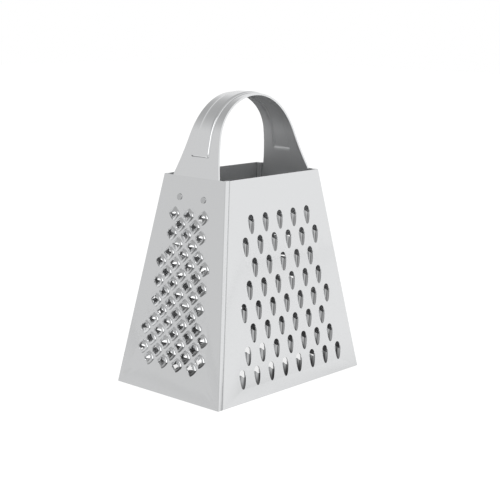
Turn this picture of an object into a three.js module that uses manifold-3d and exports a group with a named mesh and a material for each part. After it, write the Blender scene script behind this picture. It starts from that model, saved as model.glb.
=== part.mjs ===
// A four-sided kitchen grater: pressed steel panels lock-seamed at the corners, and a riveted strap handle.
// Millimetres, +Z up. The origin is the middle of the base rim, on the surface that the grater stands on.
// X runs along the two wide faces: the coarse face looks towards -Y and the rasp face towards -X.

import * as THREE from "three";
import { ConvexGeometry } from "three/addons/geometries/ConvexGeometry.js";
import { mergeVertices } from "three/addons/utils/BufferGeometryUtils.js";
import Module from "manifold-3d";

const wasm = await Module();
wasm.setup();

// Body: outside sizes at the base rim and at the top rim
const bodyHeight = 108;
const baseWidth = 110;
const baseDepth = 72;
const topWidth = 71;
const topDepth = 42.5;

// Sheet and corner seams
const sheet = 0.4;
const bendRadius = 0.45;
const bendSteps = 3;
const seamBand = 3;
const seamGap = 0.2;

// Coarse scoops on the front, medium scoops on the back: staggered rows, as many to a row as fit
const coarse = {
  halfWidth: 1.85,
  holeLength: 3.9,
  hoodLength: 6,
  lipHeight: 1.5,
  roundSteps: 6,
  hoodSteps: 2,
  holeSteps: 2,
};
const coarsePattern = {
  rows: 8,
  pitch: 10.73,
  rowStep: 10.7,
  topMargin: 21.4,
  edgeMargin: 13.2,
  shift: 1.6,
};
const medium = {
  halfWidth: 1.4,
  holeLength: 2.8,
  hoodLength: 4.2,
  lipHeight: 1.2,
  roundSteps: 6,
  hoodSteps: 1,
  holeSteps: 1,
};
const mediumPattern = {
  rows: 9,
  pitch: 10,
  rowStep: 9.4,
  topMargin: 21,
  edgeMargin: 12,
  shift: 0,
};

// Rasp crowns on the left face: a star-shaped cut whose four points are pushed out
const crownHalfDiagonal = 2.7;
const crownHeight = 1.6;
const crownLedge = 0.1;
const raspPattern = {
  rows: 16,
  pitch: 10.06,
  rowStep: 4.94,
  topMargin: 19.3,
  edgeMargin: 11.1,
  shift: -0.4,
};

// Slicing slots on the right face
const slicer = {
  halfWidth: 15,
  holeLength: 2.1,
  hoodLength: 5,
  lipHeight: 1.8,
  roundSteps: 14,
  hoodSteps: 3,
  holeSteps: 3,
};
const slicerRows = 3;
const slicerRowStep = 12.1;
const slicerTopMargin = 42;

// Handle strap: feet inside the narrow panels, leaning legs, a round arch, and a raised rib along the middle
const strapThickness = 1;
const strapSeat = 0.3;
const strapRise = 40.3;
const strapFootLength = 15;
const strapFootWidth = 31.4;
const strapFootCorner = 4;
const strapCornerSteps = 3;
const strapApexWidth = 17.1;
const strapBendDrop = 2;
const legLean = THREE.MathUtils.degToRad(17.5);
const legSteps = 4;
const archSteps = 18;
const ribShare = 0.46;
const ribHeight = 0.8;
const ribStart = 9.5;

// Rivets: two through each foot of the strap
const rivetSpacing = 16.5;
const rivetDrop = 10.4;
const rivetShankRadius = 1;
const rivetHeadRadius = 1.7;
const rivetHeadHeight = 0.6;
const rivetDimple = 0.35;
const rivetClearance = 0.2;
const rivetSteps = 12;

// Bare stainless steel, pressed from bright sheet
const panelSteel = new THREE.MeshStandardMaterial({ color: 0xd2d3d4, roughness: 0.32, metalness: 1 });
const strapSteel = new THREE.MeshStandardMaterial({ color: 0xc9cacb, roughness: 0.22, metalness: 1 });
const rivetSteel = new THREE.MeshStandardMaterial({ color: 0xbfc0c1, roughness: 0.3, metalness: 1 });

const quarterTurn = Math.PI / 2;

// A cutter that goes right through is this many times as long as what it cuts is thick
const throughCut = 4;

// A closed geometry becomes a solid once its shared corners are merged
function solidFrom(geometry) {
  const bare = geometry.index ? geometry.toNonIndexed() : geometry.clone();
  bare.deleteAttribute("normal");
  bare.deleteAttribute("uv");
  const merged = mergeVertices(bare);
  const vertProperties = new Float32Array(merged.attributes.position.array);
  const triVerts = new Uint32Array(merged.index.array);
  return new wasm.Manifold(new wasm.Mesh({ numProp: 3, vertProperties, triVerts }));
}

function geometryFrom(solid) {
  const { vertProperties, triVerts } = solid.getMesh();
  const geometry = new THREE.BufferGeometry();
  geometry.setAttribute("position", new THREE.BufferAttribute(vertProperties, 3));
  geometry.setIndex(new THREE.BufferAttribute(triVerts, 1));
  geometry.computeVertexNormals();
  return geometry;
}

function moveVertices(geometry, move) {
  const position = geometry.attributes.position;
  const spot = new THREE.Vector3();
  for (let i = 0; i < position.count; i += 1) {
    move(spot.fromBufferAttribute(position, i));
    position.setXYZ(i, spot.x, spot.y, spot.z);
  }
  return geometry;
}

// The outline of a strip of sheet that follows a line on its mid-plane, with round bends
function bentStrip(line) {
  const left = [];
  const right = [];
  const addSection = (spot, across) => {
    left.push(spot.clone().addScaledVector(across, sheet / 2));
    right.push(spot.clone().addScaledVector(across, -sheet / 2));
  };
  line.forEach((point, i) => {
    const before = line[Math.max(i - 1, 0)];
    const after = line[Math.min(i + 1, line.length - 1)];
    const isEnd = before === point || after === point;
    const along = (before === point ? after : point).clone().sub(before).normalize();
    const across = new THREE.Vector2(-along.y, along.x);
    if (isEnd) {
      addSection(point, across);
      return;
    }
    const onward = after.clone().sub(point).normalize();
    const turn = Math.atan2(along.cross(onward), along.dot(onward));
    const side = Math.sign(turn);
    const setback = bendRadius * Math.tan(Math.abs(turn) / 2);
    const centre = point.clone().addScaledVector(along, -setback).addScaledVector(across, side * bendRadius);
    for (let step = 0; step <= bendSteps; step += 1) {
      const heading = across.clone().rotateAround(new THREE.Vector2(), (turn * step) / bendSteps);
      addSection(centre.clone().addScaledVector(heading, -side * bendRadius), heading);
    }
  });
  return [...left, ...right.reverse()];
}

// Sizes of a panel that faces -Y in its own frame: the wide pair, and the narrow pair before it is turned
const wide = { base: baseWidth, top: topWidth, baseReach: baseDepth / 2, topReach: topDepth / 2 };
const narrow = { base: baseDepth, top: topDepth, baseReach: baseWidth / 2, topReach: topWidth / 2 };

function leanOf(panel) {
  return Math.atan2(panel.baseReach - panel.topReach, bodyHeight);
}

// Sheet layers of the lock seam, counted inwards from the outside face, as mid-plane depths
const layerStep = sheet + seamGap;
const layerDepth = (layer) => layer * layerStep + sheet / 2;

// Seam lines from the flat of the panel to the cut edge: distance along the face, depth from the corner.
// At each corner one panel wraps round onto its neighbour's face, and the neighbour hooks into its fold.
const bandFold = seamBand - sheet / 2;
const stepDown = bandFold + layerStep;
const wrapSeam = [
  [layerDepth(0), layerDepth(0)],
  [layerDepth(0), bandFold],
  [layerDepth(2), bandFold],
  [layerDepth(2), layerDepth(2) - sheet / 2],
];
const hookSeam = [
  [stepDown, layerDepth(0)],
  [stepDown, layerDepth(3)],
  [layerDepth(1), layerDepth(3)],
  [layerDepth(1), layerDepth(1)],
  [bandFold - sheet / 2 - seamGap, layerDepth(1)],
];

// A panel with its seam folds: the folded section at the base, drawn up to the top while each half leans in
function foldedPanel(panel, leftSeam, rightSeam) {
  const half = (side, seam) => seam.map(([along, depth]) => {
    return new THREE.Vector2(side * (panel.base / 2 - along), depth - panel.baseReach);
  });
  const section = new THREE.Shape(bentStrip([...half(-1, leftSeam).reverse(), ...half(1, rightSeam)]));
  const straight = new THREE.ExtrudeGeometry(section, { depth: bodyHeight, bevelEnabled: false });
  return moveVertices(straight, (spot) => {
    const share = spot.z / bodyHeight;
    spot.x -= (Math.sign(spot.x) * share * (panel.base - panel.top)) / 2;
    spot.y += share * (panel.baseReach - panel.topReach);
  });
}

// Places a feature on a panel's outside face: X across, Y up the slope, Z out of the sheet
function onFace(panel, geometry, across, up) {
  const placed = geometry.clone().translate(across, up, 0);
  return placed.rotateX(quarterTurn - leanOf(panel)).translate(0, -panel.baseReach, 0);
}

// Staggered rows from the top down; each row holds as many copies as stay clear of the corners
function staggeredSpots(panel, pattern) {
  const slope = bodyHeight / Math.cos(leanOf(panel));
  const spots = [];
  for (let row = 0; row < pattern.rows; row += 1) {
    const up = slope - pattern.topMargin - row * pattern.rowStep;
    const halfRoom = THREE.MathUtils.lerp(panel.base, panel.top, up / slope) / 2 - pattern.edgeMargin;
    const odd = row % 2;
    const pairs = Math.floor(halfRoom / pattern.pitch - odd / 2);
    for (let place = -pairs - odd; place <= pairs; place += 1) {
      spots.push({ across: pattern.shift + (place + odd / 2) * pattern.pitch, up });
    }
  }
  return spots;
}

// A quarter of an ellipse, from the pole to the widest ring, as (radius, height) points
function quarterProfile(radius, length, steps) {
  const points = [];
  for (let step = 0; step <= steps; step += 1) {
    const angle = (step / steps) * quarterTurn;
    points.push(new THREE.Vector2(radius * Math.sin(angle), length * Math.cos(angle)));
  }
  return points;
}

// A body of revolution about Y with a flat to each side and a ridge to the front, flattened along Z
function eggFrom(profile, halfWidth, height, roundSteps) {
  const halfStep = Math.PI / roundSteps;
  const egg = new THREE.LatheGeometry(profile, roundSteps, quarterTurn - halfStep);
  return egg.scale(1 / Math.cos(halfStep), 1, height / halfWidth);
}

// The pushed-out hood of a scoop: a quarter of an egg below the lip, sunk to the middle of the sheet
function scoopHood({ halfWidth, hoodLength, lipHeight, roundSteps, hoodSteps }) {
  const profile = [...quarterProfile(halfWidth, -hoodLength, hoodSteps), new THREE.Vector2(0, 0)];
  return moveVertices(eggFrom(profile, halfWidth, lipHeight, roundSteps), (spot) => {
    spot.z = Math.max(spot.z, -sheet / 2);
  });
}

// What the scoop leaves open: the hole above the lip and the hollow behind the hood, one sheet inside it.
// The widest stretch runs straight from half a sheet below the lip up to the round end of the hole.
function scoopHollow({ halfWidth, holeLength, hoodLength, lipHeight, roundSteps, hoodSteps, holeSteps }) {
  const radius = halfWidth - sheet;
  const hollowLength = hoodLength - sheet;
  const pastLip = sheet / 2;
  const roundLength = Math.min(radius, holeLength - pastLip);
  const lipStep = new THREE.Vector2(0, pastLip);
  const roundStep = new THREE.Vector2(0, holeLength - roundLength);
  const lower = quarterProfile(radius, pastLip - hollowLength, hoodSteps).map((point) => point.sub(lipStep));
  const upper = quarterProfile(radius, roundLength, holeSteps).map((point) => point.add(roundStep));
  const profile = [...lower, ...upper.reverse()];
  return eggFrom(profile, radius, lipHeight, roundSteps).translate(0, 0, -sheet);
}

// One point of a rasp crown: a root along one side of the cut, drawn up to a sharp tip above its inner edge
function crownPoint(quarter) {
  const corner = (radius, turn) => new THREE.Vector3(
    radius * Math.cos(turn * quarterTurn),
    radius * Math.sin(turn * quarterTurn),
    -sheet / 2,
  );
  const inner = crownHalfDiagonal - sheet * Math.SQRT2;
  const root = [corner(crownHalfDiagonal, quarter), corner(crownHalfDiagonal, quarter + 1)];
  const throat = [corner(inner, quarter), corner(inner, quarter + 1)];
  const tip = throat[0].clone().lerp(throat[1], 0.5).setZ(crownHeight);
  return new ConvexGeometry([...root, ...throat, tip]);
}

// The star cut itself: a square hole standing on its corner, through the sheet, a ledge inside the points
function crownHole() {
  const radius = crownHalfDiagonal - (sheet + crownLedge) * Math.SQRT2;
  return new THREE.CylinderGeometry(radius, radius, throughCut * sheet, 4).rotateX(quarterTurn);
}

// Copies of a feature at every spot of a pattern, as one solid to join or cut
function copiesOnFace(panel, shapes, spots) {
  const copies = spots.flatMap(({ across, up }) => {
    return shapes.map((shape) => solidFrom(onFace(panel, shape, across, up)));
  });
  return wasm.Manifold.union(copies);
}

// Rivet places on a narrow panel
function rivetSpots() {
  const up = (bodyHeight - rivetDrop) / Math.cos(leanOf(narrow));
  return [-1, 1].map((side) => ({ across: (side * rivetSpacing) / 2, up }));
}

// Drills the rivet holes straight through the panel and the foot of the strap behind it
const rivetGrip = sheet + strapSeat + strapThickness;

function drillRivets(solid, turn) {
  const radius = rivetShankRadius + rivetClearance;
  const drill = new THREE.CylinderGeometry(radius, radius, throughCut * rivetGrip, rivetSteps);
  drill.rotateX(quarterTurn);
  const holes = rivetSpots().map(({ across, up }) => onFace(narrow, drill, across, up).rotateZ(turn));
  return solid.subtract(wasm.Manifold.union(holes.map(solidFrom)));
}

// Panels: the left one wraps round both its corners, the right one hooks at both, the wide ones do one of each
function pressScoops(panel, blank, scoop, spots) {
  const hoods = copiesOnFace(panel, [scoopHood(scoop)], spots);
  const hollows = copiesOnFace(panel, [scoopHollow(scoop)], spots);
  return solidFrom(blank).add(hoods).subtract(hollows);
}

function coarsePanel() {
  const blank = foldedPanel(wide, hookSeam, wrapSeam);
  return pressScoops(wide, blank, coarse, staggeredSpots(wide, coarsePattern));
}

function mediumPanel() {
  const blank = foldedPanel(wide, wrapSeam, hookSeam);
  return pressScoops(wide, blank, medium, staggeredSpots(wide, mediumPattern));
}

function raspPanel() {
  const spots = staggeredSpots(narrow, raspPattern);
  const holes = copiesOnFace(narrow, [crownHole()], spots);
  const points = copiesOnFace(narrow, [0, 1, 2, 3].map(crownPoint), spots);
  const blank = foldedPanel(narrow, wrapSeam, wrapSeam);
  return drillRivets(solidFrom(blank).subtract(holes).add(points), 0);
}

function slicerPanel() {
  const spots = [];
  const slope = bodyHeight / Math.cos(leanOf(narrow));
  for (let row = 0; row < slicerRows; row += 1) {
    spots.push({ across: 0, up: slope - slicerTopMargin - row * slicerRowStep });
  }
  const blank = foldedPanel(narrow, hookSeam, hookSeam);
  return drillRivets(pressScoops(narrow, blank, slicer, spots), 0);
}

// Handle strap, seen from the front: its mid-line from the left foot over the arch to the right foot
const strapApex = bodyHeight + strapRise - strapThickness / 2;
const strapBendHeight = bodyHeight - strapBendDrop;
const strapFootEnd = bodyHeight - strapFootLength;

function footReach(height) {
  const lean = leanOf(narrow);
  const outside = narrow.baseReach - Math.tan(lean) * height;
  return outside - sheet - (strapSeat + strapThickness / 2) / Math.cos(lean);
}

function strapStations() {
  const stations = [];
  const footLean = leanOf(narrow);
  for (let step = 0; step <= strapCornerSteps; step += 1) {
    const angle = (step / strapCornerSteps) * quarterTurn;
    const height = strapFootEnd + strapFootCorner * (1 - Math.cos(angle));
    stations.push({ reach: footReach(height), height, lean: footLean });
  }
  const bendReach = footReach(strapBendHeight);
  const climb = strapApex - strapBendHeight;
  const radius = (bendReach * Math.cos(legLean) - climb * Math.sin(legLean)) / (1 - Math.sin(legLean));
  const centre = strapApex - radius;
  const legTop = centre + radius * Math.sin(legLean);
  for (let step = 0; step < legSteps; step += 1) {
    const height = THREE.MathUtils.lerp(strapBendHeight, legTop, step / legSteps);
    const lean = step === 0 ? (footLean + legLean) / 2 : legLean;
    stations.push({ reach: bendReach - (height - strapBendHeight) * Math.tan(legLean), height, lean });
  }
  for (let step = 0; step <= archSteps / 2; step += 1) {
    const lean = THREE.MathUtils.lerp(legLean, quarterTurn, step / (archSteps / 2));
    stations.push({ reach: radius * Math.cos(lean), height: centre + radius * Math.sin(lean), lean });
  }
  return stations;
}

function strapWidth(height) {
  const above = Math.max(height - bodyHeight, 0);
  const share = 1 - above / (strapApex - bodyHeight);
  const width = strapApexWidth + (strapFootWidth - strapApexWidth) * share ** 2;
  const rounding = Math.max(strapFootCorner - (height - strapFootEnd), 0);
  const cornerLoss = strapFootCorner - Math.sqrt(Math.max(strapFootCorner ** 2 - rounding ** 2, 0));
  return width - 2 * cornerLoss;
}

// One layer of the strap between two offsets from its mid-line: a long bar bent over the stations of the arch
function strapLayer(stations, inner, outer, widthAt) {
  const mirrored = stations.slice(0, -1).reverse();
  const right = mirrored.map((station) => ({ ...station, side: 1 }));
  const course = [...stations.map((station) => ({ ...station, side: -1 })), ...right];
  const last = course.length - 1;
  const bar = new THREE.BoxGeometry(last, 1, 1, last, 1, 1);
  return solidFrom(moveVertices(bar, (spot) => {
    const { reach, height, lean, side } = course[Math.round(spot.x + last / 2)];
    const offset = spot.z > 0 ? outer : inner;
    spot.x = side * (reach + offset * Math.cos(lean));
    spot.z = height + offset * Math.sin(lean);
    spot.y *= widthAt(spot.z);
  }));
}

function handleStrap() {
  const stations = strapStations();
  const halfThickness = strapThickness / 2;
  const ribFrom = bodyHeight + ribStart;
  const ribStations = stations.filter(({ height }) => height > ribFrom);
  const first = stations.find(({ height }) => height > ribFrom);
  const ribEnd = (height) => ({
    reach: first.reach + (first.height - height) * Math.tan(legLean),
    height,
    lean: legLean,
  });
  const ribWidth = (height) => ribShare * strapWidth(height);
  const channelWidth = (height) => ribWidth(height) - 2 * strapThickness;
  const strap = strapLayer(stations, -halfThickness, halfThickness, strapWidth);
  const outside = [ribEnd(ribFrom), ...ribStations];
  const rib = strapLayer(outside, 0, halfThickness + ribHeight, ribWidth);
  const inside = [ribEnd(ribFrom + strapThickness), ...ribStations];
  const channel = strapLayer(inside, -strapThickness, ribHeight - halfThickness, channelWidth);
  const ribbed = strap.add(rib).subtract(channel);
  return drillRivets(drillRivets(ribbed, -quarterTurn), quarterTurn);
}

// A rivet with a dimpled head outside the panel and a clenched tail inside the strap, its axis along Z
function rivet() {
  const seat = rivetClearance;
  const tail = -rivetGrip - rivetClearance;
  const profile = [
    [0, tail - rivetHeadHeight],
    [rivetHeadRadius - rivetDimple, tail - rivetHeadHeight],
    [rivetHeadRadius, tail - rivetHeadHeight + rivetDimple],
    [rivetHeadRadius, tail],
    [rivetShankRadius, tail],
    [rivetShankRadius, seat],
    [rivetHeadRadius, seat],
    [rivetHeadRadius - rivetDimple / 2, seat + rivetHeadHeight],
    [rivetShankRadius, seat + rivetHeadHeight],
    [rivetShankRadius / 2, seat + rivetHeadHeight - rivetDimple],
    [0, seat + rivetHeadHeight - rivetDimple],
  ].map(([radius, height]) => new THREE.Vector2(radius, height));
  return new THREE.LatheGeometry(profile, rivetSteps).rotateX(quarterTurn);
}

// Assembly: each panel and its rivets in a group that is turned to its side of the body
const grater = new THREE.Group();

function addSide(turn) {
  const side = new THREE.Group();
  side.rotation.z = turn;
  grater.add(side);
  return side;
}

function addMesh(group, name, geometry, material) {
  const mesh = new THREE.Mesh(geometry, material);
  mesh.name = name;
  group.add(mesh);
}

const frontSide = addSide(0);
const backSide = addSide(Math.PI);
const leftSide = addSide(-quarterTurn);
const rightSide = addSide(quarterTurn);

addMesh(frontSide, "front_coarse_panel", geometryFrom(coarsePanel()), panelSteel);
addMesh(backSide, "back_medium_panel", geometryFrom(mediumPanel()), panelSteel);
addMesh(leftSide, "left_rasp_panel", geometryFrom(raspPanel()), panelSteel);
addMesh(rightSide, "right_slicer_panel", geometryFrom(slicerPanel()), panelSteel);
addMesh(grater, "handle_strap", geometryFrom(handleStrap()), strapSteel);

for (const [sideName, side] of [["left", leftSide], ["right", rightSide]]) {
  rivetSpots().forEach(({ across, up }, i) => {
    const name = `${sideName}_handle_rivet_${i + 1}`;
    addMesh(side, name, onFace(narrow, rivet(), across, up), rivetSteel);
  });
}

export default grater;
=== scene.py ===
# %% [markdown]
# # A four-sided kitchen grater
# This lesson dresses a finished construction model of a small box grater. The construction holds every
# piece at its real size, and here each piece gets the surface that the eye sees: drawn scoops, torn rasp
# points, folded corner seams and an embossed strap handle, all in bare stainless steel. The construction is
# loaded first and never moved.

# %% Load the construction
import math
import random

import bpy
from mathutils import Matrix, Vector
from mathutils.geometry import delaunay_2d_cdt


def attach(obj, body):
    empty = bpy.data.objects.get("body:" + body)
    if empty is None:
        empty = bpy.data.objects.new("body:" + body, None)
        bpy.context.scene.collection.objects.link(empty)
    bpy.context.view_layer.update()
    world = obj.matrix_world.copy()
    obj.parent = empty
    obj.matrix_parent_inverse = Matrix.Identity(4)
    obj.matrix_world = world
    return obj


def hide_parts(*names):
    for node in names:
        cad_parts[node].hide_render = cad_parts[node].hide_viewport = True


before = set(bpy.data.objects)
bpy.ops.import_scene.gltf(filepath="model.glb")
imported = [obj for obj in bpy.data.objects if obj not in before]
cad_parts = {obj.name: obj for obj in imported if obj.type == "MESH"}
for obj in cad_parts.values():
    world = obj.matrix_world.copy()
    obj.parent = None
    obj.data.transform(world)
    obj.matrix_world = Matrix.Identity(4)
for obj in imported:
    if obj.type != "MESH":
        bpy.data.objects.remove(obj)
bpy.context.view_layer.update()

# %% [markdown]
# ## Driving sizes
# Everything is written in millimetres, as on a workshop drawing, and turned into metres only when a mesh is
# made. The body is a hollow frustum of four flat sheets. A wide sheet and a narrow sheet share the same few
# numbers: their width at the base and at the top, and how far they stand from the middle axis.

# %% Body and sheet sizes
MM = 0.001
BODY_HEIGHT = 108
BASE_WIDTH, BASE_DEPTH = 110, 72
TOP_WIDTH, TOP_DEPTH = 71, 42.5
SHEET = 0.4
QUARTER = math.pi / 2


def panel_sizes(base, top, base_reach, top_reach):
    """One flat side of the frustum, which faces -Y before it is turned to its place."""
    lean = math.atan2(base_reach - top_reach, BODY_HEIGHT)
    return {
        "base": base,
        "top": top,
        "base_reach": base_reach,
        "top_reach": top_reach,
        "lean": lean,
        "slope": BODY_HEIGHT / math.cos(lean),
    }


WIDE = panel_sizes(BASE_WIDTH, TOP_WIDTH, BASE_DEPTH / 2, TOP_DEPTH / 2)
NARROW = panel_sizes(BASE_DEPTH, TOP_DEPTH, BASE_WIDTH / 2, TOP_WIDTH / 2)
for label, panel in (("wide", WIDE), ("narrow", NARROW)):
    print(label, "side leans in by", round(math.degrees(panel["lean"]), 2), "degrees")

# %% [markdown]
# ## Sheet metal as a skin
# Pressed sheet has the same thickness everywhere, so it is easiest to model the middle of the sheet as one
# thin skin and let a Solidify modifier give it both faces and its cut edges. A small collector gathers the
# points and faces of a skin. Each point also keeps its place on the flat sheet, which later carries the
# rolled grain of the steel.

# %% Collector for the points and faces of one skin
class Skin:
    """Points in mm, their places on the flat sheet, and faces, gathered before a mesh is made."""

    def __init__(self):
        self.points = []
        self.places = []
        self.faces = []

    def add(self, point, place):
        self.points.append(Vector(point))
        self.places.append(place)
        return len(self.points) - 1

    def bridge(self, row, next_row, closed=False):
        """Quads between two rows of point numbers, counted the same way round."""
        count = len(row)
        for i in range(count if closed else count - 1):
            j = (i + 1) % count
            self.faces.append((row[i], row[j], next_row[j], next_row[i]))

    def fan(self, tip, row):
        for i in range(len(row) - 1):
            self.faces.append((tip, row[i + 1], row[i]))


# %% Turn a skin into a solid sheet
WELD = 0.004
SHARP_ANGLE = math.radians(38)


def apply_modifiers(piece):
    """Replaces a piece's mesh by the one that its modifiers give."""
    depsgraph = bpy.context.evaluated_depsgraph_get()
    baked = bpy.data.meshes.new_from_object(piece.evaluated_get(depsgraph))
    piece.modifiers.clear()
    plain = piece.data
    piece.data = baked
    bpy.data.meshes.remove(plain)


def skin_object(name, skin, turn, sides):
    """An object of that skin, turned about the upright axis, with an empty material slot for each side."""
    mesh = bpy.data.meshes.new(name)
    mesh.from_pydata([point * MM for point in skin.points], [], skin.faces)
    layer = mesh.uv_layers.new(name="flat_sheet_mm")
    for loop in mesh.loops:
        layer.data[loop.index].uv = skin.places[loop.vertex_index]
    mesh.transform(Matrix.Rotation(turn, 4, "Z"))
    for _ in range(sides):
        mesh.materials.append(None)
    piece = bpy.data.objects.new(name, mesh)
    bpy.context.scene.collection.objects.link(piece)
    weld = piece.modifiers.new("weld", "WELD")
    weld.merge_threshold = WELD * MM
    return piece


def bake(piece):
    """Applies the modifiers, cuts the piece flat at the base and smooths all but its sharp edges."""
    apply_modifiers(piece)
    for vertex in piece.data.vertices:
        vertex.co.z = max(vertex.co.z, 0)
    piece.data.shade_smooth()
    piece.data.set_sharp_from_angle(angle=SHARP_ANGLE)


def solid_sheet(name, skin, thickness, turn=0.0):
    """A sheet with that skin in its middle; its first material is the outside, its second the reverse."""
    piece = skin_object(name, skin, turn, sides=2)
    solidify = piece.modifiers.new("sheet", "SOLIDIFY")
    solidify.thickness = thickness * MM
    solidify.offset = 0
    solidify.material_offset = 1
    bake(piece)
    print(name, len(piece.data.polygons), "faces")
    return piece


# %% [markdown]
# ## Folded corners
# The four sheets are held together by lock seams. At each corner one sheet wraps round onto its neighbour's
# face and folds inwards, and the neighbour hooks into that fold, so a band shows on one face only. One seam
# is a bent line in plan. The line is written as corner points and each corner is rounded, because sheet
# steel never folds to a knife edge.

# %% Seam lines in plan
BEND_RADIUS = 0.22
BEND_STEPS = 6
SEAM_BAND = 3
SEAM_GAP = 0.1
LAYER_STEP = SHEET + SEAM_GAP


def layer_depth(layer):
    return layer * LAYER_STEP + SHEET / 2


BAND_FOLD = SEAM_BAND - SHEET / 2
STEP_DOWN = BAND_FOLD + LAYER_STEP
WRAP_SEAM = [
    (layer_depth(0), layer_depth(0)),
    (layer_depth(0), BAND_FOLD),
    (layer_depth(2), BAND_FOLD),
    (layer_depth(2), layer_depth(2) - SHEET / 2),
]
HOOK_SEAM = [
    (STEP_DOWN, layer_depth(0)),
    (STEP_DOWN, layer_depth(3)),
    (layer_depth(1), layer_depth(3)),
    (layer_depth(1), layer_depth(1)),
    (BAND_FOLD - SHEET / 2 - SEAM_GAP, layer_depth(1)),
]


def rounded(line):
    """A line of corner points with each inner corner replaced by an arc of the bend radius."""
    points = [line[0]]
    for before, corner, after in zip(line, line[1:], line[2:]):
        inward = (before - corner).normalized()
        onward = (after - corner).normalized()
        half = inward.angle(onward) / 2
        centre = corner + (inward + onward).normalized() * (BEND_RADIUS / math.sin(half))
        first = corner + inward * (BEND_RADIUS / math.tan(half)) - centre
        last = corner + onward * (BEND_RADIUS / math.tan(half)) - centre
        for step in range(BEND_STEPS + 1):
            points.append(centre + first.slerp(last, step / BEND_STEPS) * BEND_RADIUS)
    return points + [line[-1]]


def fold_line(panel, seam, side):
    """One fold in plan, from the flat to the cut edge; the side is -1 on the left and 1 on the right."""
    corners = [Vector((side * (panel["base"] / 2 - along), depth)) for along, depth in seam]
    return rounded([Vector((0, seam[0][1])), *corners])[1:]


# %% Folds and flat of one panel
def fold_strip(skin, panel, line):
    """A fold drawn up from the base rim to the top rim, leaning in with the panel."""
    rows = []
    for share in (0, 1):
        row = []
        for spot in line:
            x = spot.x - math.copysign(share * (panel["base"] - panel["top"]) / 2, spot.x)
            y = spot.y - panel["base_reach"] + share * (panel["base_reach"] - panel["top_reach"])
            along = spot.x + math.copysign(spot.y, spot.x)
            row.append(skin.add((x, y, share * BODY_HEIGHT), (along, share * BODY_HEIGHT)))
        rows.append(row)
    skin.bridge(*rows)


def on_face(panel, across, up, out=0.0):
    """A point on the middle of the sheet: across the panel, up its slope and out of its face."""
    lean = panel["lean"]
    y = SHEET / 2 - panel["base_reach"] + up * math.sin(lean) - out * math.cos(lean)
    return across, y, up * math.cos(lean) + out * math.sin(lean)


def flat_with_holes(skin, panel, left, right, loops):
    """The flat between two folds, triangulated round the closed loops that the features leave free."""
    slope = panel["slope"]
    taper = (panel["base"] - panel["top"]) / 2
    corners = [(left, 0), (right, 0), (right - taper, slope), (left + taper, slope)]
    spots = [Vector(corner) for corner in corners]
    outlines = [[0, 1, 2, 3]]
    for loop in loops:
        outlines.append(list(range(len(spots), len(spots) + len(loop))))
        spots.extend(Vector(spot) for spot in loop)
    flat, _, triangles, _, _, inside = delaunay_2d_cdt(spots, [], outlines, 1, WELD / 10)
    numbers = [skin.add(on_face(panel, *spot), tuple(spot)) for spot in flat]
    for triangle, outlines_here in zip(triangles, inside):
        if outlines_here == [0]:
            skin.faces.append(tuple(numbers[i] for i in triangle))


def pressed_panel(name, panel, left_seam, right_seam, turn, features):
    """A whole panel: two folds, the flat between them, and features that each leave a loop in the flat."""
    skin = Skin()
    left = fold_line(panel, left_seam, -1)
    right = fold_line(panel, right_seam, 1)
    fold_strip(skin, panel, left[::-1])
    fold_strip(skin, panel, right)
    loops = [feature(skin) for feature in features]
    flat_with_holes(skin, panel, left[0].x, right[0].x, loops)
    return solid_sheet(name, skin, SHEET, turn)


# %% [markdown]
# ## Drawn scoops
# A coarse tooth starts as a punched hole, and the lower half of its edge is then drawn out into a hood: a
# half tube that keeps rising from a rounded tip to a sharp lip. The lip follows the round edge of the hole,
# so its crown lies lower than its ends. A boolean of eggs would give creased, faceted hoods. Lofting arches
# of growing size keeps the surface smooth, and a fillet at the foot of each arch is what a press leaves in
# the sheet. A flat ring round each tooth keeps its rounding from smearing over the shading of the panel.

# %% Arches of one hood
RING = 0.35
FILLET_STEPS = 3


def arch_profile(half_width, height, fillet, steps):
    """Half an arch from its foot to its crown, as (distance from the middle, height), with a round fillet."""
    foot = []
    for step in range(FILLET_STEPS):
        angle = QUARTER * step / FILLET_STEPS
        foot.append((half_width + fillet * (1 - math.sin(angle)), fillet * (1 - math.cos(angle))))
    crown = []
    for step in range(steps + 1):
        angle = QUARTER * step / steps
        crown.append((half_width * math.cos(angle), fillet + (height - fillet) * math.sin(angle)))
    return foot + crown


def full_arch(half_width, height, fillet, steps):
    side = arch_profile(half_width, height, fillet, steps)
    return [(-x, z) for x, z in side] + [(x, z) for x, z in side[-2::-1]]


def widened(loop, distance):
    """A closed loop, counted anticlockwise, moved outwards by a distance."""
    moved = []
    for i, spot in enumerate(loop):
        along = Vector(loop[(i + 1) % len(loop)]) - Vector(loop[i - 1])
        outward = Vector((along.y, -along.x)).normalized()
        moved.append(tuple(Vector(spot) + outward * distance))
    return moved


def hole_edge(sizes):
    """The cut edge above the ends of the lip, anticlockwise: half an ellipse."""
    half = sizes["half_width"] + sizes["fillet"]
    edge = []
    for step in range(1, sizes["hole_steps"]):
        angle = math.pi * step / sizes["hole_steps"]
        height = sizes["hole_length"] - sizes["lip_sag"]
        edge.append((half * math.cos(angle), sizes["lip_sag"] + height * math.sin(angle)))
    return edge


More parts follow.
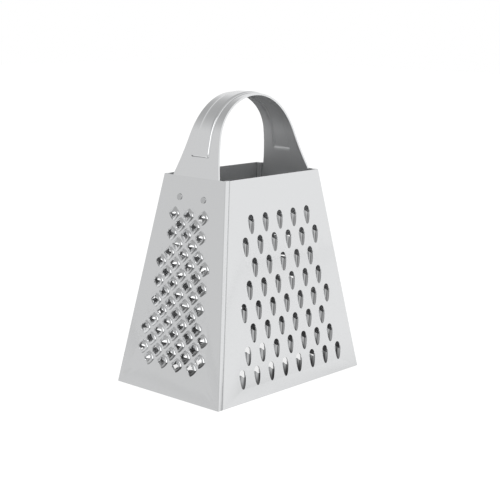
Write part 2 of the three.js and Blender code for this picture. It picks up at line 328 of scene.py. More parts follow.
# %% One scoop on a panel
def scoop(panel, sizes, across, up):
    """A feature that adds one scoop to a skin, its lip at that spot, and returns the loop that it leaves."""
    arch = full_arch(sizes["half_width"], sizes["lip_height"], sizes["fillet"], sizes["arch_steps"])

    def place(x, y, z=0.0):
        return on_face(panel, across + x, up + y, z), (across + x, up + y)

    def build(skin):
        rows = []
        for step in range(1, sizes["hood_steps"] + 1):
            angle = QUARTER * step / sizes["hood_steps"]
            y = -sizes["hood_length"] * math.cos(angle)
            width = math.sin(angle) ** sizes["tip_width"]
            height = (1 - math.cos(angle)) ** sizes["rise"]
            sag = sizes["lip_sag"] * (step / sizes["hood_steps"]) ** 2 / arch[0][0] ** 2
            rows.append([skin.add(*place(x * width, y + sag * x * x, z * height)) for x, z in arch])
        tip = skin.add(*place(0, -sizes["hood_length"]))
        skin.fan(tip, rows[0])
        for row, next_row in zip(rows, rows[1:]):
            skin.bridge(row, next_row)
        hole = [skin.add(*place(*spot)) for spot in hole_edge(sizes)]
        outline = [row[0] for row in rows[::-1]] + [tip] + [row[-1] for row in rows] + hole
        loop = widened([skin.places[i] for i in outline], RING)
        ring = [skin.add(on_face(panel, *spot), spot) for spot in loop]
        skin.bridge(ring, outline, closed=True)
        return loop

    return build


# %% [markdown]
# ## Rasp crowns
# The rasp face is pierced from inside by a pyramid punch. The punch draws the sheet into a low mound with a
# squarish foot and tears it along its edges into four pointed petals, on the sides of a square that stands
# on its corner. No two tears are alike: most petals stand up and some stay half open over the hole. Each
# gets its lean and length from a seeded random draw, which makes some crowns flash white and leaves others
# dark.

# %% One crown on a panel
CROWN = {
    "half_diagonal": 2.55,
    "foot_radius": 3.2,
    "foot_diagonal": 4,
    "foot_squareness": 0.6,
    "ring": 0.2,
    "mound_height": 0.9,
    "mound_ease": 0.6,
    "mound_steps": 6,
    "curl": math.radians(20),
    "ridge": 0.3,
    "tip_share": 0.1,
    "side_steps": 6,
    "petal_steps": 5,
}
STANDING = {"lean": math.radians(80), "lean_spread": math.radians(22), "length": 0.85}
HALF_OPEN = {"lean": math.radians(45), "lean_spread": math.radians(9), "length": 1.8}
HALF_OPEN_SHARE = 0.38
LENGTH_SPREAD = 0.3
PIERCING = random.Random(7)


def torn_petal():
    """Lean and length of one petal, drawn at random: most stand up, and some stay half open."""
    petal = HALF_OPEN if PIERCING.random() < HALF_OPEN_SHARE else STANDING
    lean = petal["lean"] + PIERCING.uniform(-1, 1) * petal["lean_spread"]
    length = petal["length"] * (1 + PIERCING.uniform(-1, 1) * LENGTH_SPREAD)
    return lean, length


def petal_rows(start, end, lean, length):
    """Rows of (spot, height) up one petal, whose root runs from start to end on the square's side."""
    steps, side_steps = CROWN["petal_steps"], CROWN["side_steps"]
    middle = (start + end) / 2
    inward = -middle.normalized()
    step_length = length / steps
    reach, height = 0.0, CROWN["mound_height"]
    rows = []
    for step in range(1, steps + 1):
        share = step / steps
        angle = lean + CROWN["curl"] * (share - 0.5)
        reach += step_length * math.cos(angle)
        height += step_length * math.sin(angle)
        width = 1 - share * (1 - CROWN["tip_share"])
        row = []
        for place in range(side_steps + 1):
            sideways = place / side_steps - 0.5
            ridge = CROWN["ridge"] * (1 - 2 * abs(sideways)) * math.sin(math.pi * share)
            row.append((middle + (end - start) * sideways * width + inward * (reach - ridge), height))
        rows.append(row)
    return rows


def crown(panel, across, up):
    """A feature that adds one torn crown to a skin and returns the loop that it leaves."""
    half, side_steps = CROWN["half_diagonal"], CROWN["side_steps"]
    petals = [torn_petal() for _ in range(4)]
    corners = [Vector((half * math.cos(QUARTER * i), half * math.sin(QUARTER * i))) for i in range(4)]
    sides = list(zip(corners, corners[1:] + corners[:1]))

    def place(spot, out=0.0):
        flat = (across + spot.x, up + spot.y)
        return on_face(panel, *flat, out), flat

    def build(skin):
        rim = [start.lerp(end, step / side_steps) for start, end in sides for step in range(side_steps)]
        turns = [QUARTER * step / side_steps for step in range(4 * side_steps)]
        circle = [Vector((math.cos(turn), math.sin(turn))) * CROWN["foot_radius"] for turn in turns]
        square = [spot * (CROWN["foot_diagonal"] / half) for spot in rim]
        foot = [arc.lerp(edge, CROWN["foot_squareness"]) for arc, edge in zip(circle, square)]
        outside = 1 + CROWN["ring"] / CROWN["foot_radius"]
        loop = [(across + spot.x * outside, up + spot.y * outside) for spot in foot]
        ring = [skin.add(on_face(panel, *spot), spot) for spot in loop]
        for step in range(CROWN["mound_steps"] + 1):
            share = step / CROWN["mound_steps"]
            height = CROWN["mound_height"] * share ** CROWN["mound_ease"]
            row = [skin.add(*place(low.lerp(high, share), height)) for low, high in zip(foot, rim)]
            skin.bridge(ring, row, closed=True)
            ring = row
        for i, (start, end) in enumerate(sides):
            row = [ring[(i * side_steps + step) % len(ring)] for step in range(side_steps + 1)]
            for spots in petal_rows(start, end, *petals[i]):
                next_row = [skin.add(*place(*spot)) for spot in spots]
                skin.bridge(row, next_row)
                row = next_row
        return loop

    return build


# %% [markdown]
# ## The four faces
# Teeth stand in staggered rows, so that each row shaves what the row above left. A row holds as many teeth
# as stay clear of the folded corners, which is why the rows of a tapered grater grow longer towards the
# base.

# %% Staggered rows
def staggered(panel, pattern):
    """Places (across, up) of a staggered pattern, from the top row down."""
    spots = []
    pitch = pattern["pitch"]
    for row in range(pattern["rows"]):
        up = panel["slope"] - pattern["top_margin"] - row * pattern["row_step"]
        share = up / panel["slope"]
        half_room = (panel["base"] * (1 - share) + panel["top"] * share) / 2 - pattern["edge_margin"]
        odd = row % 2
        pairs = math.floor(half_room / pitch - odd / 2)
        for place in range(-pairs - odd, pairs + 1):
            spots.append((pattern["shift"] + (place + odd / 2) * pitch, up))
    return spots


# %% Coarse face, in front
COARSE = {
    "half_width": 1.65,
    "fillet": 0.25,
    "lip_height": 1.45,
    "hood_length": 6,
    "hole_length": 3.6,
    "lip_sag": 1.6,
    "tip_width": 0.75,
    "rise": 0.65,
    "arch_steps": 5,
    "hood_steps": 8,
    "hole_steps": 14,
}
COARSE_PATTERN = {
    "rows": 8,
    "pitch": 10.73,
    "row_step": 10.7,
    "top_margin": 21.4,
    "edge_margin": 13.2,
    "shift": 1.6,
}
coarse_spots = staggered(WIDE, COARSE_PATTERN)
coarse_teeth = [scoop(WIDE, COARSE, *spot) for spot in coarse_spots]
front_panel = pressed_panel("coarse_face", WIDE, HOOK_SEAM, WRAP_SEAM, 0, coarse_teeth)
print(len(coarse_spots), "coarse scoops")

# %% Medium face, behind
MEDIUM = {
    "half_width": 1.2,
    "fillet": 0.25,
    "lip_height": 1.15,
    "hood_length": 4.2,
    "hole_length": 2.6,
    "lip_sag": 1.1,
    "tip_width": 0.75,
    "rise": 0.65,
    "arch_steps": 4,
    "hood_steps": 6,
    "hole_steps": 12,
}
MEDIUM_PATTERN = {
    "rows": 9,
    "pitch": 10,
    "row_step": 9.4,
    "top_margin": 21,
    "edge_margin": 12,
    "shift": 0,
}
medium_spots = staggered(WIDE, MEDIUM_PATTERN)
medium_teeth = [scoop(WIDE, MEDIUM, *spot) for spot in medium_spots]
back_panel = pressed_panel("medium_face", WIDE, WRAP_SEAM, HOOK_SEAM, math.pi, medium_teeth)
print(len(medium_spots), "medium scoops")

# %% Rasp face, on the left
RIVET_SPACING = 16.5
RIVET_DROP = 10.4
RIVET_HOLE_RADIUS = 1.2
RIVET_HOLE_STEPS = 24
RIVET_UP = (BODY_HEIGHT - RIVET_DROP) / math.cos(NARROW["lean"])
RIVET_SPOTS = [(side * RIVET_SPACING / 2, RIVET_UP) for side in (-1, 1)]


def rivet_hole(across, up):
    """A round hole through a narrow panel, which only leaves a loop in its flat."""
    def build(_skin):
        angles = [2 * math.pi * step / RIVET_HOLE_STEPS for step in range(RIVET_HOLE_STEPS)]
        radius = RIVET_HOLE_RADIUS
        return [(across + radius * math.cos(angle), up + radius * math.sin(angle)) for angle in angles]

    return build


rivet_holes = [rivet_hole(*spot) for spot in RIVET_SPOTS]
RASP_PATTERN = {
    "rows": 16,
    "pitch": 10.06,
    "row_step": 4.94,
    "top_margin": 19.3,
    "edge_margin": 11.1,
    "shift": -0.4,
}
rasp_spots = staggered(NARROW, RASP_PATTERN)
rasp_crowns = [crown(NARROW, *spot) for spot in rasp_spots]
rasp_features = rasp_crowns + rivet_holes
left_panel = pressed_panel("rasp_face", NARROW, WRAP_SEAM, WRAP_SEAM, -QUARTER, rasp_features)
print(len(rasp_spots), "rasp crowns")

# %% Slicing face, on the right
SLICER = {
    "half_width": 14.7,
    "fillet": 0.3,
    "lip_height": 1.75,
    "hood_length": 5,
    "hole_length": 2,
    "lip_sag": 0.5,
    "tip_width": 1,
    "rise": 1,
    "arch_steps": 14,
    "hood_steps": 8,
    "hole_steps": 36,
}
SLICER_ROWS = 3
SLICER_ROW_STEP = 12.1
SLICER_TOP_MARGIN = 42
slicer_top = NARROW["slope"] - SLICER_TOP_MARGIN
slicer_spots = [(0, slicer_top - SLICER_ROW_STEP * row) for row in range(SLICER_ROWS)]
slicer_slots = [scoop(NARROW, SLICER, *spot) for spot in slicer_spots]
slicer_features = slicer_slots + rivet_holes
right_panel = pressed_panel("slicing_face", NARROW, HOOK_SEAM, HOOK_SEAM, QUARTER, slicer_features)
print(len(slicer_spots), "slicing slots")

# %% [markdown]
# ## Strap handle
# The handle is one strip of thicker steel, bent into an arch over the top and tucked inside the narrow
# sheets. A rib pressed along its middle keeps it stiff. It is made as a grid: stations along the arch times
# points across the strip, where the rib is an offset that rises over a short ramp at its sides and at its
# two ends.

# %% Stations along the strap
STRAP_THICKNESS = 1
STRAP_SEAT = 0.3
STRAP_RISE = 40.3
FOOT_LENGTH = 15
FOOT_WIDTH = 31.4
FOOT_CORNER = 4
APEX_WIDTH = 17.1
BEND_DROP = 2
LEG_LEAN = math.radians(17.5)
STRAP_APEX = BODY_HEIGHT + STRAP_RISE - STRAP_THICKNESS / 2
FOOT_END = BODY_HEIGHT - FOOT_LENGTH
BEND_HEIGHT = BODY_HEIGHT - BEND_DROP
RIB_START = 9.5
RIB_END_RAMP = 0.7
FOOT_CORNER_STEPS = 6
FOOT_STEPS = 5
LEG_STEPS = 8
RIB_END_STEPS = 6
ARCH_STEPS = 36


def foot_reach(height):
    """How far the middle of the strap's foot stands from the axis, inside the leaning panel."""
    outside = NARROW["base_reach"] - math.tan(NARROW["lean"]) * height
    return outside - SHEET - (STRAP_SEAT + STRAP_THICKNESS / 2) / math.cos(NARROW["lean"])


bend_reach = foot_reach(BEND_HEIGHT)
climb = STRAP_APEX - BEND_HEIGHT
ARCH_RADIUS = (bend_reach * math.cos(LEG_LEAN) - climb * math.sin(LEG_LEAN)) / (1 - math.sin(LEG_LEAN))
ARCH_CENTRE = STRAP_APEX - ARCH_RADIUS
LEG_TOP = ARCH_CENTRE + ARCH_RADIUS * math.sin(LEG_LEAN)


def spread(start, end, steps):
    """Evenly spaced values from start up to, but not at, the end."""
    return [start + (end - start) * step / steps for step in range(steps)]


def half_strap():
    """Stations (reach, height, lean) from the end of a foot to the apex."""
    lean = NARROW["lean"]
    turns = [QUARTER * step / FOOT_CORNER_STEPS for step in range(FOOT_CORNER_STEPS)]
    corner = [FOOT_END + FOOT_CORNER * (1 - math.cos(turn)) for turn in turns]
    foot = corner + spread(FOOT_END + FOOT_CORNER, BEND_HEIGHT, FOOT_STEPS)
    stations = [(foot_reach(height), height, lean) for height in foot]
    rib_foot = BODY_HEIGHT + RIB_START
    leg = spread(BEND_HEIGHT, rib_foot, LEG_STEPS)
    leg += spread(rib_foot, rib_foot + RIB_END_RAMP, RIB_END_STEPS)
    leg += spread(rib_foot + RIB_END_RAMP, LEG_TOP, LEG_STEPS)
    for height in leg:
        reach = bend_reach - (height - BEND_HEIGHT) * math.tan(LEG_LEAN)
        stations.append((reach, height, (lean + LEG_LEAN) / 2 if height == BEND_HEIGHT else LEG_LEAN))
    for angle in spread(LEG_LEAN, QUARTER, ARCH_STEPS):
        stations.append((ARCH_RADIUS * math.cos(angle), ARCH_CENTRE + ARCH_RADIUS * math.sin(angle), angle))
    return stations


print("arch radius", round(ARCH_RADIUS, 2), "mm about a centre", round(ARCH_CENTRE, 2), "mm up")

# %% Grid of the strap
RIB_SHARE = 0.42
RIB_HEIGHT = 0.75
RIB_RAMP = 0.55
EDGE_STEPS = 6
RIB_RAMP_STEPS = 6
RIB_STEPS = 4


def strap_half_width(height):
    """Half the strap's width: narrow at the apex, wide at the foot, with rounded corners at the end."""
    above = max(height - BODY_HEIGHT, 0)
    share = 1 - above / (STRAP_APEX - BODY_HEIGHT)
    width = APEX_WIDTH + (FOOT_WIDTH - APEX_WIDTH) * share**2
    rounding = max(FOOT_CORNER - (height - FOOT_END), 0)
    corner_loss = FOOT_CORNER - math.sqrt(max(FOOT_CORNER**2 - rounding**2, 0))
    return width / 2 - corner_loss


def ramp(distance, width):
    """Rises smoothly from 0 to 1 over a width."""
    share = min(max(distance / width, 0), 1)
    return share * share * (3 - 2 * share)


def strap_columns(half_width):
    """Places across the strap, crowded where the rib's ramps are."""
    rib_half = RIB_SHARE * half_width
    edge = half_width - rib_half - RIB_RAMP
    places = [-half_width + edge * i / EDGE_STEPS for i in range(EDGE_STEPS)]
    places += [-rib_half - RIB_RAMP + RIB_RAMP * i / RIB_RAMP_STEPS for i in range(RIB_RAMP_STEPS + 1)]
    places += [-rib_half + rib_half * i / RIB_STEPS for i in range(1, RIB_STEPS)]
    return places + [0] + [-place for place in places[::-1]]


def strap_skin():
    """The whole strap as a grid, from the end of the left foot over the apex to the right foot."""
    left = [(-1, station) for station in half_strap()]
    apex = [(1, (0, STRAP_APEX, QUARTER))]
    right = [(1, station) for _, station in left[::-1]]
    skin = Skin()
    rows = []
    travel = 0
    before = None
    for side, (reach, height, lean) in left + apex + right:
        spot = Vector((side * reach, height))
        travel += (spot - before).length if before else 0
        before = spot
        half_width = strap_half_width(height)
        rib_half = RIB_SHARE * half_width
        row = []
        for y in strap_columns(half_width):
            side_rise = ramp(rib_half + RIB_RAMP - abs(y), RIB_RAMP)
            rise = side_rise * ramp(height - BODY_HEIGHT - RIB_START, RIB_END_RAMP)
            offset = RIB_HEIGHT * rise
            x = side * (reach + offset * math.cos(lean))
            z = height + offset * math.sin(lean)
            row.append(skin.add((x, y, z), (y, travel)))
        rows.append(row)
    for row, next_row in zip(rows, rows[1:]):
        skin.bridge(next_row, row)
    return skin


handle = solid_sheet("strap_handle", strap_skin(), STRAP_THICKNESS)

# %% [markdown]
# ## Rivets
# Two rivets hold each foot of the strap. A rivet is a turned body: a head with a dimple where the setting
# tool pressed it, a shank through both sheets, and a clenched tail inside. Spinning one profile round its
# axis is the direct way to make it, with enough steps that its rim stays round close up.

# %% Spin a rivet
RIVET_SHANK = 1
RIVET_HEAD = 1.7
RIVET_HEAD_HEIGHT = 0.35
RIVET_EDGE = 0.3
RIVET_DIMPLE = 0.14
RIVET_DIMPLE_RADIUS = 1.1
RIVET_CLEARANCE = 0.05
RIVET_GRIP = SHEET + STRAP_SEAT + STRAP_THICKNESS
RIVET_TURNS = 40
RIVET_STEPS = 6


def rivet_head(seat, top):
    """(radius, height) over a head from its seat to its middle: a rounded edge, a flat and a dimple."""
    side = math.copysign(1, top - seat)
    points = [(RIVET_HEAD, seat)]
    for step in range(RIVET_STEPS + 1):
        angle = QUARTER * step / RIVET_STEPS
        points.append((RIVET_HEAD - RIVET_EDGE * (1 - math.cos(angle)),
                       top - side * RIVET_EDGE * (1 - math.sin(angle))))
    for step in range(RIVET_STEPS + 1):
        share = step / RIVET_STEPS
        depth = RIVET_DIMPLE * (1 - math.cos(math.pi * share)) / 2
        points.append((RIVET_DIMPLE_RADIUS * (1 - share), top - side * depth))
    return points


def rivet_profile():
    """(radius, height above the outside face) from the middle of the tail to the middle of the head."""
    tail = -RIVET_GRIP - RIVET_CLEARANCE
    seat = RIVET_CLEARANCE
    inside = rivet_head(tail, tail - RIVET_HEAD_HEIGHT)
    outside = rivet_head(seat, seat + RIVET_HEAD_HEIGHT)
    return inside[::-1] + [(RIVET_SHANK, tail), (RIVET_SHANK, seat)] + outside


def spun_rivet(name, across, up, turn):
    """A rivet whose axis goes through that spot of a narrow panel."""
    skin = Skin()
    rows = []
    for radius, height in rivet_profile():
        row = []
        for step in range(RIVET_TURNS):
            angle = 2 * math.pi * step / RIVET_TURNS
            spot = (across + radius * math.cos(angle), up + radius * math.sin(angle))
            row.append(skin.add(on_face(NARROW, *spot, height + SHEET / 2), spot))
        rows.append(row)
    for row, next_row in zip(rows, rows[1:]):
        skin.bridge(row, next_row, closed=True)
    piece = skin_object(name, skin, turn, sides=1)
    bake(piece)
    return piece


rivets = {}
for side_name, turn in (("left", -QUARTER), ("right", QUARTER)):
    for number, spot in enumerate(RIVET_SPOTS, 1):
        node = f"{side_name}_handle_rivet_{number}"
        rivets[node] = spun_rivet(f"{side_name}_rivet_{number}", *spot, turn)
print(len(rivets), "rivets")

# %% [markdown]
# ## Bare stainless steel
# All pieces are 18/10 stainless steel, but they were finished in different ways. The outside of the panels
# is cold-rolled with a bright annealed skin, and the reverse was only pickled, so it is dull. The rasp
# sheet is bright on both sides, which lets its petals flash. The strap is polished outside. Bare metal has
# no colour coat: its reflection is its colour.

# %% Colours and node helper
def linear(hex_colour):
    """An sRGB hex value as a linear RGBA colour."""
    channels = [int(hex_colour[i : i + 2], 16) / 255 for i in (1, 3, 5)]
    return [c / 12.92 if c <= 0.04045 else ((c + 0.055) / 1.055) ** 2.4 for c in channels] + [1.0]


def add_node(tree, kind, settings=None, inputs=None):
    """One node with its settings; an input is a value, or an output socket to link from."""
    node = tree.nodes.new(kind)
    for key, value in (settings or {}).items():
        setattr(node, key, value)
    for key, value in (inputs or {}).items():
        if isinstance(value, bpy.types.NodeSocket):
            tree.links.new(value, node.inputs[key])
        else:
            node.inputs[key].default_value = value
    return node


# %% Steel finishes
def steel(name, colour, roughness, grain_mm, grain_length_mm, grain_depth_mm, haze_mm, haze):
    """Bare steel with a rolled or polished grain along the sheet and soft patches of haze."""
    material = bpy.data.materials.new(name)
    material.use_nodes = True
    tree = material.node_tree
    tree.nodes.clear()
    sheet = add_node(tree, "ShaderNodeUVMap", {"uv_map": "flat_sheet_mm"}).outputs["UV"]
    across = add_node(tree, "ShaderNodeMapping", inputs={
        "Vector": sheet, "Scale": (1 / grain_mm, 1 / grain_length_mm, 1)})
    grain = add_node(tree, "ShaderNodeTexNoise", inputs={
        "Vector": across.outputs["Vector"], "Scale": 1.0, "Detail": 3.0, "Roughness": 0.6})
    patches = add_node(tree, "ShaderNodeTexNoise", inputs={
        "Vector": sheet, "Scale": 1 / haze_mm, "Detail": 3.0, "Roughness": 0.55})
    dull = add_node(tree, "ShaderNodeMapRange", inputs={
        "Value": patches.outputs["Fac"], "From Min": 0.3, "From Max": 0.7,
        "To Min": roughness - haze, "To Max": roughness + haze})
    bump = add_node(tree, "ShaderNodeBump", inputs={
        "Height": grain.outputs["Fac"], "Distance": grain_depth_mm * MM, "Strength": 1.0})
    surface = add_node(tree, "ShaderNodeBsdfPrincipled", inputs={
        "Base Color": linear(colour), "Metallic": 1.0,
        "Roughness": dull.outputs["Result"], "Normal": bump.outputs["Normal"]})
    add_node(tree, "ShaderNodeOutputMaterial", inputs={"Surface": surface.outputs["BSDF"]})
    return material


# Bright annealing leaves a clear mirror with a faint rolled grain.
rolled_sheet = steel(
    "stainless_sheet_bright_rolled", "#DFE0E1", roughness=0.07, grain_mm=0.5, grain_length_mm=30,
    grain_depth_mm=0.0005, haze_mm=22, haze=0.02)
# Pickling etches the skin, so the inside of the body is dull and evenly grey.
mill_sheet = steel(
    "stainless_sheet_pickled_reverse", "#D8D9DA", roughness=0.62, grain_mm=0.5, grain_length_mm=30,
    grain_depth_mm=0.001, haze_mm=18, haze=0.05)
# Polishing along the strip leaves long fine lines in a clear mirror.
polished_strap = steel(
    "stainless_strip_polished", "#E4E5E6", roughness=0.07, grain_mm=0.4, grain_length_mm=40,
    grain_depth_mm=0.0005, haze_mm=14, haze=0.02)
# Turning leaves short marks that spread the light, so a rivet looks a shade darker than its sheet.
turned_rivet = steel(
    "stainless_rivet_turned", "#C4C5C6", roughness=0.18, grain_mm=0.3, grain_length_mm=3,
    grain_depth_mm=0.001, haze_mm=4, haze=0.04)
print("finishes:", [m.name for m in (rolled_sheet, mill_sheet, polished_strap, turned_rivet)])

# %% Give every piece its finish and its body, and hide the construction node that it replaces
dressed = {
    "front_coarse_panel": (front_panel, (rolled_sheet, mill_sheet), "panel_steel"),
    "back_medium_panel": (back_panel, (rolled_sheet, mill_sheet), "panel_steel"),
    "left_rasp_panel": (left_panel, (rolled_sheet, rolled_sheet), "panel_steel"),
    "right_slicer_panel": (right_panel, (rolled_sheet, mill_sheet), "panel_steel"),
    "handle_strap": (handle, (polished_strap, mill_sheet), "strap_steel"),
}
for node, piece in rivets.items():
    dressed[node] = (piece, (turned_rivet,), "rivet_steel")
for node, (piece, finishes, slot) in dressed.items():
    for i, finish in enumerate(finishes):
        piece.data.materials[i] = finish
    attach(piece, "root")
    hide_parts(node)
print(len(dressed), "pieces dressed")

# %% [markdown]
# ## Camera
# The camera was solved from the straight edges of the body, so it is written as angles, a distance and a
# lens. It looks from the front left, a little above the top rim, with a long lens that keeps the tapered
# sides almost straight.

# %% Place the camera
CAMERA_AZIMUTH = math.radians(-47.949)
CAMERA_ELEVATION = math.radians(11.117)
CAMERA_ROLL = math.radians(0.69)
CAMERA_OFFSET = Vector((5.0, 65.28, 644.55))
CAMERA_LENS = 87.18
SENSOR_WIDTH = 36

back = Vector((
    math.sin(CAMERA_AZIMUTH) * math.cos(CAMERA_ELEVATION),
    -math.cos(CAMERA_AZIMUTH) * math.cos(CAMERA_ELEVATION),
    math.sin(CAMERA_ELEVATION),
))
level = Vector((math.cos(CAMERA_AZIMUTH), math.sin(CAMERA_AZIMUTH), 0))
upright = back.cross(level)
right = level * math.cos(CAMERA_ROLL) + upright * math.sin(CAMERA_ROLL)
up = upright * math.cos(CAMERA_ROLL) - level * math.sin(CAMERA_ROLL)
camera = bpy.data.objects.new("camera", bpy.data.cameras.new("camera"))
bpy.context.scene.collection.objects.link(camera)
camera.data.lens = CAMERA_LENS
camera.data.sensor_width = SENSOR_WIDTH
camera.matrix_world = Matrix((right, up, back)).transposed().to_4x4()
camera.location = (right * CAMERA_OFFSET.x + up * CAMERA_OFFSET.y + back * CAMERA_OFFSET.z) * MM
bpy.context.scene.camera = camera
print("camera at", [round(x, 3) for x in camera.location], "m")

# %% [markdown]
# ## Studio
# Steel shows what it mirrors, so the room matters more than any lamp. The grater stands in a white tent:
# brightest on the right, and dimmer on the left, overhead and towards the camera, where the tent is open.
# These tones show in reflections only. The background that the camera sees stays white all round.

# %% Tone of the tent in a direction
BRIGHT_AZIMUTH = math.radians(47.5)
TENT_LEFT, TENT_RIGHT = 0.75, 1.0
OPENING_EDGE, OPENING_CORE = math.cos(math.radians(72)), math.cos(math.radians(32))
OPENING_LOW, OPENING_HIGH = math.sin(math.radians(14)), math.sin(math.radians(40))
OPENING_TONE = 0.8
ROOF_START, ROOF_FULL = math.sin(math.radians(25)), math.sin(math.radians(50))
ROOF_TONE = 0.6


def towards(azimuth):
    """The level direction at an azimuth, which is 0 in front of the coarse face and grows to the right."""
    return Vector((math.sin(azimuth), -math.cos(azimuth), 0))


def tent_tone(tree, heading):
    """How bright the tent is towards a heading: white cloth, dimmer at the opening and the roof."""
    soft = {"interpolation_type": "SMOOTHSTEP"}
    bright_side = add_node(tree, "ShaderNodeVectorMath", {"operation": "DOT_PRODUCT"}, {
        0: heading, 1: towards(BRIGHT_AZIMUTH)})
    camera_side = add_node(tree, "ShaderNodeVectorMath", {"operation": "DOT_PRODUCT"}, {
        0: heading, 1: towards(CAMERA_AZIMUTH)})
    height = add_node(tree, "ShaderNodeSeparateXYZ", inputs={"Vector": heading})
    cloth = add_node(tree, "ShaderNodeMapRange", soft, {
        "Value": bright_side.outputs["Value"], "From Min": -1.0, "From Max": 1.0,
        "To Min": TENT_LEFT, "To Max": TENT_RIGHT})
    gap = add_node(tree, "ShaderNodeMapRange", soft, {
        "Value": camera_side.outputs["Value"], "From Min": OPENING_EDGE, "From Max": OPENING_CORE,
        "To Min": 1.0, "To Max": OPENING_TONE})
    opening = add_node(tree, "ShaderNodeMapRange", soft, {
        "Value": height.outputs["Z"], "From Min": OPENING_LOW, "From Max": OPENING_HIGH,
        "To Min": gap.outputs["Result"], "To Max": 1.0})
    roof = add_node(tree, "ShaderNodeMapRange", soft, {
        "Value": height.outputs["Z"], "From Min": ROOF_START, "From Max": ROOF_FULL,
        "To Min": 1.0, "To Max": ROOF_TONE})
    walls = add_node(tree, "ShaderNodeMath", {"operation": "MULTIPLY"}, {
        0: cloth.outputs["Result"], 1: opening.outputs["Result"]})
    tent = add_node(tree, "ShaderNodeMath", {"operation": "MULTIPLY"}, {
        0: walls.outputs["Value"], 1: roof.outputs["Result"]})
    return tent.outputs["Value"]


# %% Tent of white cloth
AMBIENT = 0.9
world = bpy.data.worlds.new("white_tent")
bpy.context.scene.world = world
world.use_nodes = True
tree = world.node_tree
tree.nodes.clear()
rays = add_node(tree, "ShaderNodeLightPath").outputs
plain_view = add_node(tree, "ShaderNodeMath", {"operation": "MAXIMUM"}, {
    0: rays["Is Camera Ray"], 1: rays["Is Transmission Ray"]})
heading = add_node(tree, "ShaderNodeTexCoord").outputs["Generated"]
lit = add_node(tree, "ShaderNodeMix", {"data_type": "FLOAT"}, {
    "Factor": rays["Is Glossy Ray"], "A": AMBIENT, "B": tent_tone(tree, heading)})
strength = add_node(tree, "ShaderNodeMix", {"data_type": "FLOAT"}, {
    "Factor": plain_view.outputs["Value"], "A": lit.outputs["Result"], "B": 1.0})
room = add_node(tree, "ShaderNodeBackground", inputs={
    "Color": linear("#FFFFFF"), "Strength": strength.outputs["Result"]})
add_node(tree, "ShaderNodeOutputWorld", inputs={"Surface": room.outputs["Background"]})
print("tent from", TENT_LEFT, "on the left to", TENT_RIGHT, "on the right")

# %% [markdown]
# ## Floor
# The floor is a pale lacquered board. The camera sees it white, so that it meets the background without a
# horizon, and only a trace of the grater's shadow is left on it. In the steel it shows as a grey board that
# glows by itself, with three painted pools of light on it and a painted shade round the middle, because drawn
# teeth vanish when there is nothing dark to mirror. At a glancing view the lacquer mirrors the white tent.

# %% Values of the pale board
FLOOR_HALF = 3.0
FLOOR_GLOW = 0.82
BOARD_COLOUR = "#8C8C8C"
BOARD_GREY = 0.2
# Painted pools of light on the board, seen only in reflections: azimuth and brightness of each.
CARDS = ((math.radians(-36), 0.62), (math.radians(-118), 0.95), (math.radians(42), 0.4))
CARD_EDGE, CARD_CORE = math.cos(math.radians(34)), math.cos(math.radians(10))
# Painted shade: in reflections the board's glow falls to this share within a few centimetres of the axis.
SHADE_TONE = 0.2
SHADE_START, SHADE_END = 0.05, 0.09
GLANCE_START, GLANCE_FULL = 0.78, 0.91
LACQUER_ROUGHNESS = 0.15

# %% Board as the camera sees it
floor_paint = bpy.data.materials.new("lacquered_white_board_painted_light_and_shade")
floor_paint.use_nodes = True
tree = floor_paint.node_tree
tree.nodes.clear()
rays = add_node(tree, "ShaderNodeLightPath").outputs
plain_view = add_node(tree, "ShaderNodeMath", {"operation": "MAXIMUM"}, {
    0: rays["Is Camera Ray"], 1: rays["Is Transmission Ray"]})
matt = add_node(tree, "ShaderNodeBsdfDiffuse", inputs={"Color": linear(BOARD_COLOUR)})
glow = add_node(tree, "ShaderNodeEmission", inputs={"Color": linear("#FFFFFF"), "Strength": FLOOR_GLOW})
white = add_node(tree, "ShaderNodeAddShader", inputs={0: matt.outputs["BSDF"], 1: glow.outputs["Emission"]})

# %% Board as the steel mirrors it
place = add_node(tree, "ShaderNodeNewGeometry").outputs["Position"]
heading = add_node(tree, "ShaderNodeVectorMath", {"operation": "NORMALIZE"}, {0: place}).outputs["Vector"]
distance = add_node(tree, "ShaderNodeVectorMath", {"operation": "LENGTH"}, {0: place})
lit = BOARD_GREY
# Painted pools of light: the board's glow in reflections rises towards each listed azimuth.
for azimuth, whiteness in CARDS:
    side = add_node(tree, "ShaderNodeVectorMath", {"operation": "DOT_PRODUCT"}, {
        0: heading, 1: towards(azimuth)})
    card = add_node(tree, "ShaderNodeMapRange", {"interpolation_type": "SMOOTHSTEP"}, {
        "Value": side.outputs["Value"], "From Min": CARD_EDGE, "From Max": CARD_CORE,
        "To Min": BOARD_GREY, "To Max": whiteness})
    lit = add_node(tree, "ShaderNodeMath", {"operation": "MAXIMUM"}, {
        0: card.outputs["Result"], 1: lit}).outputs["Value"]
# Painted shade: the glow is darker near the middle, where the grater stands.
shade = add_node(tree, "ShaderNodeMapRange", {"interpolation_type": "SMOOTHSTEP"}, {
    "Value": distance.outputs["Value"], "From Min": SHADE_START, "From Max": SHADE_END,
    "To Min": SHADE_TONE, "To Max": 1.0})
tone = add_node(tree, "ShaderNodeMath", {"operation": "MULTIPLY"}, {
    0: lit, 1: shade.outputs["Result"]})
# In reflections the board glows with the painted pools of light and the painted shade; no lamp lights it.
grey = add_node(tree, "ShaderNodeEmission", inputs={
    "Color": linear("#FFFFFF"), "Strength": tone.outputs["Value"]})
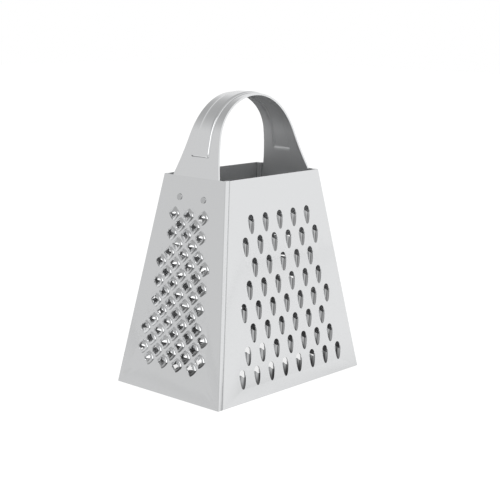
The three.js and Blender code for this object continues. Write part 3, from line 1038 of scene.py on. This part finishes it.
lacquer = add_node(tree, "ShaderNodeBsdfGlossy", inputs={
    "Color": linear("#FFFFFF"), "Roughness": LACQUER_ROUGHNESS})
facing = add_node(tree, "ShaderNodeLayerWeight", inputs={"Blend": 0.5})
glance = add_node(tree, "ShaderNodeMapRange", {"interpolation_type": "SMOOTHSTEP"}, {
    "Value": facing.outputs["Facing"], "From Min": GLANCE_START, "From Max": GLANCE_FULL,
    "To Min": 0.0, "To Max": 1.0})
board = add_node(tree, "ShaderNodeMixShader", inputs={
    0: glance.outputs["Result"], 1: grey.outputs["Emission"], 2: lacquer.outputs["BSDF"]})

# %% Both together on one large sheet
surface = add_node(tree, "ShaderNodeMixShader", inputs={
    0: plain_view.outputs["Value"], 1: board.outputs["Shader"], 2: white.outputs["Shader"]})
add_node(tree, "ShaderNodeOutputMaterial", inputs={"Surface": surface.outputs["Shader"]})
floor_mesh = bpy.data.meshes.new("floor")
floor_corners = [(x * FLOOR_HALF, y * FLOOR_HALF, 0) for x, y in ((-1, -1), (1, -1), (1, 1), (-1, 1))]
floor_mesh.from_pydata(floor_corners, [], [(0, 1, 2, 3)])
floor_mesh.materials.append(floor_paint)
floor = bpy.data.objects.new("floor", floor_mesh)
bpy.context.scene.collection.objects.link(floor)
print("floor", 2 * FLOOR_HALF, "m wide")

# %% [markdown]
# ## Lamp
# One soft box stands at the front left, above the grater. It adds white flashes to the half-open petals of
# the rasp face. Its level is low, because the tent already lights the steel.

# %% Soft box
def soft_box(name, place, size, watts):
    """A square lamp that faces the middle of the grater."""
    lamp = bpy.data.lights.new(name, "AREA")
    lamp.shape = "SQUARE"
    lamp.size = size
    lamp.energy = watts
    box = bpy.data.objects.new(name, lamp)
    box.location = place
    aim = Vector((0, 0, BODY_HEIGHT / 2 * MM)) - Vector(place)
    box.rotation_euler = aim.to_track_quat("-Z", "Y").to_euler()
    bpy.context.scene.collection.objects.link(box)
    return box


lamp_box = soft_box("front_soft_box", place=(-0.5, -0.35, 0.6), size=0.45, watts=0.8)
print("soft box at", [round(x, 2) for x in lamp_box.location], "m")
bpy.context.scene.view_settings.view_transform = "Standard"
